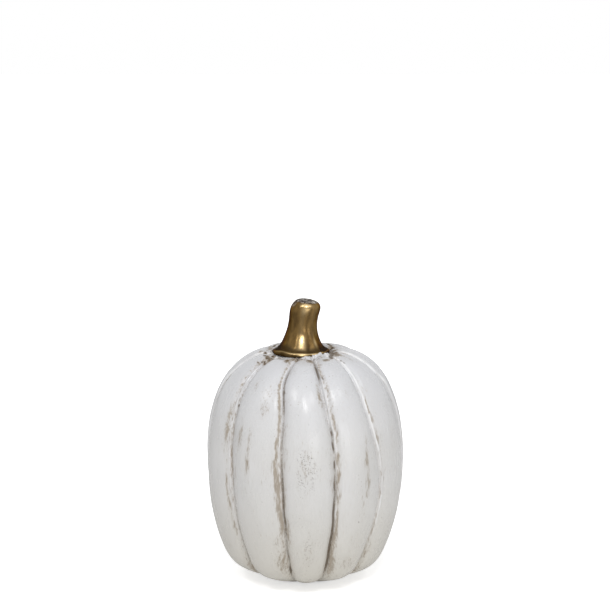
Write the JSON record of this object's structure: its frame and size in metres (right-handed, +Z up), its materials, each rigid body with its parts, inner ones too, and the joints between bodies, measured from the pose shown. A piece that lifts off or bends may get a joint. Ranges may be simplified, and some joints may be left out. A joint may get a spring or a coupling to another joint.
{
  "type": "ceramic pumpkin figure",
  "caption": "Tall ribbed pumpkin ornament: a hollow white antiqued ceramic body with a gilt stem, free-standing on felt dots under its flat foot.",
  "frame": {"origin": "on the pumpkin's axis, in the plane it stands on (underside of the felt pads)", "axes": "+Z up from the foot to the stem, -Y the front, +X to the front's right"},
  "size_m": [0.0997, 0.1016, 0.1426],
  "materials": {
    "antiqued_glaze": "satin white glaze with a thin brown antique wash left in the grooves",
    "antique_gilding": "ceramic under antique gold leaf paint, worn to grey-brown on the cut top",
    "cured_adhesive": "cured epoxy, satin",
    "felt": "pressed wool felt, pale grey"
  },
  "bodies": {
    "root": {"pumpkin_body": "antiqued_glaze", "stem": "antique_gilding", "stem_adhesive": "cured_adhesive", "felt_pad_1": "felt", "felt_pad_2": "felt", "felt_pad_3": "felt", "felt_pad_4": "felt"}
  },
  "joints": []
}
